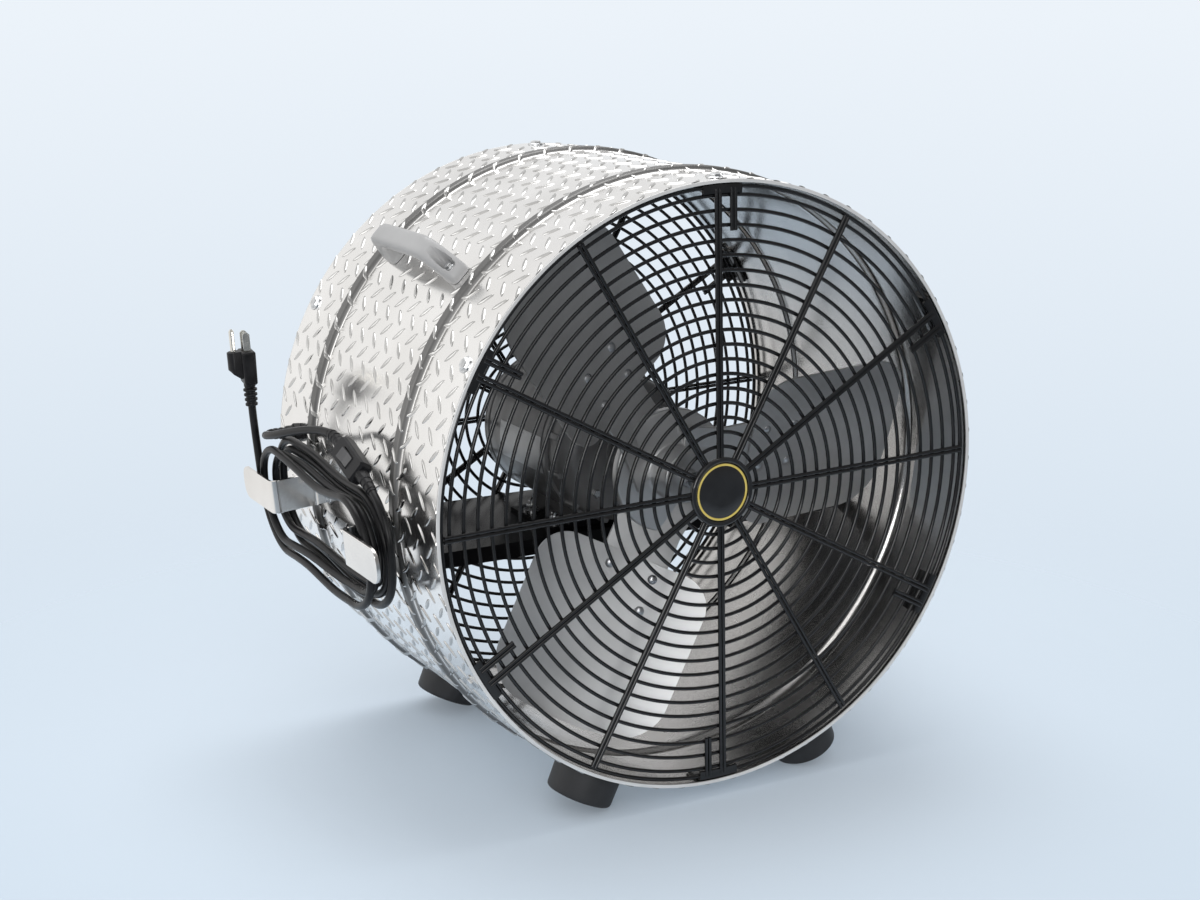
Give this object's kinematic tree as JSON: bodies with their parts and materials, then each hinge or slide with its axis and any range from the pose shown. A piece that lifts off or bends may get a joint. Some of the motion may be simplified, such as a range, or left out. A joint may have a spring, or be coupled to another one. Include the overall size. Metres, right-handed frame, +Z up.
{
  "type": "drum fan",
  "caption": "Portable drum fan with a tread-plate drum, ring guards, pitched paddle blades on a motor across a channel, carry handles, round feet and a wrapped cord.",
  "frame": {"origin": "on the floor under the middle of the box round the fixed parts, cord and plug left out", "axes": "+Z up, +Y from the front guard to the rear guard along the drum's axis, +X to the right seen from the front"},
  "size_m": [0.6065, 0.3621, 0.5585],
  "materials": {
    "treadplate": "polished, raised diamond pattern",
    "black_gloss": "gloss black powder coat",
    "blade_metal": "satin mill finish",
    "shaft_steel": "ground",
    "bracket_metal": "polished",
    "motor_paint": "charcoal enamel",
    "foot_rubber": "matt",
    "grip_plastic": "satin moulded",
    "rocker_plastic": "satin moulded",
    "prong_metal": "nickel plated",
    "plug_plastic": "moulded",
    "cord_rubber": "smooth jacket"
  },
  "bodies": {
    "base": {"drum_shell": "treadplate", "front_guard": "black_gloss", "rear_guard": "black_gloss", "front_badge": "black_gloss", "motor_front_bell": "motor_paint", "motor_shell": "motor_paint", "motor_rear_bell": "motor_paint", "motor_saddle": "black_gloss", "cross_channel": "black_gloss", "foot_front_left": "foot_rubber", "foot_front_right": "foot_rubber", "foot_rear_left": "foot_rubber", "foot_rear_right": "foot_rubber", "handle_left": "grip_plastic", "handle_right": "grip_plastic", "cord_bracket": "bracket_metal", "cord_wound": "cord_rubber", "cord_lead": "cord_rubber", "cord_tail": "cord_rubber", "cord_gland": "plug_plastic", "switch_body": "plug_plastic", "plug_body": "plug_plastic", "plug_blade_1": "prong_metal", "plug_blade_2": "prong_metal", "plug_ground_pin": "prong_metal"},
    "fan": {"fan_blade_1": "blade_metal", "fan_blade_2": "blade_metal", "fan_blade_3": "blade_metal", "fan_hub": "blade_metal", "fan_shaft": "shaft_steel"},
    "rocker": {"switch_rocker": "rocker_plastic"}
  },
  "joints": [
    {"name": "fan_spin", "type": "hinge", "parent": "base", "child": "fan", "pos_m": [0.01899, 0, 0.28345], "axis": [0, 1, 0], "continuous": true},
    {"name": "rocker_tilt", "type": "hinge", "parent": "base", "child": "rocker", "pos_m": [-0.27695, -0.05227, 0.32194], "axis": [-0.5299, 0.29, -0.7969], "range_deg": [0, 16]}
  ]
}
